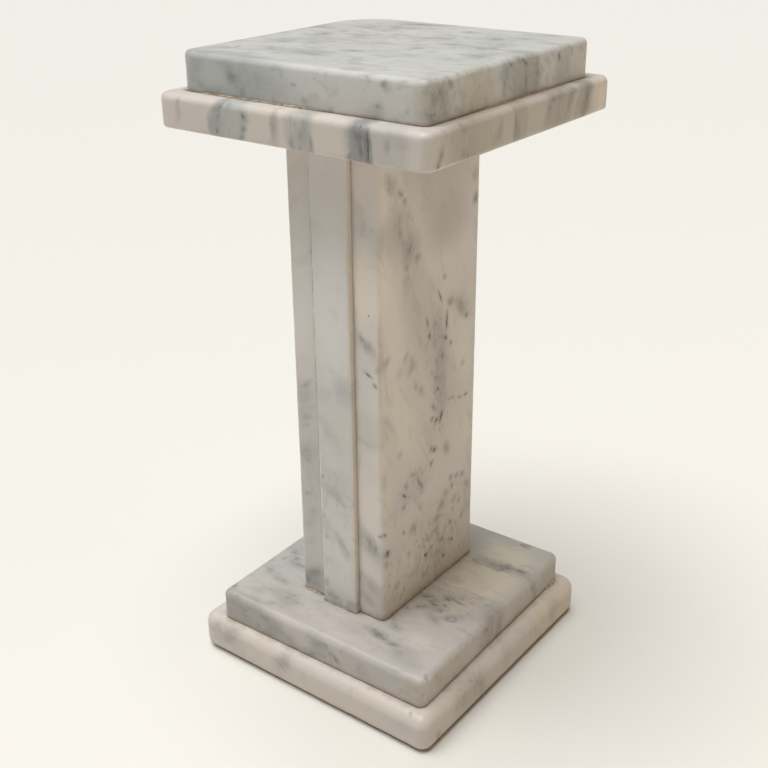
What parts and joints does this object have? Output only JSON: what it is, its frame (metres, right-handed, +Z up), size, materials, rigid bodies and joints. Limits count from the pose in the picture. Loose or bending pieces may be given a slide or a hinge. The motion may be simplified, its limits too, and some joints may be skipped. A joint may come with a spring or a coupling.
{
  "type": "marble pedestal",
  "caption": "Square stepped marble display pedestal: a slab shaft with a proud middle strip, on a stepped base, under a stepped cap.",
  "frame": {"origin": "floor level, in the middle of the plinth's underside", "axes": "+Z up; X through the thickness of the shaft's three slabs, +X out of the shaft's smooth wide face; Y along their width, so the proud strip faces -Y and +Y"},
  "size_m": [0.353, 0.357, 0.75],
  "materials": {
    "plinth_marble": "satin",
    "step_marble": "satin",
    "shaft_left_marble": "satin",
    "shaft_core_marble": "satin",
    "shaft_right_marble": "satin",
    "cap_marble": "satin",
    "display_marble": "satin",
    "joint_filler": "matte"
  },
  "bodies": {
    "root": {"plinth": "plinth_marble", "base_step": "step_marble", "shaft_left_slab": "shaft_left_marble", "shaft_core_slab": "shaft_core_marble", "shaft_right_slab": "shaft_right_marble", "cap_plate": "cap_marble", "display_slab": "display_marble"}
  },
  "joints": []
}
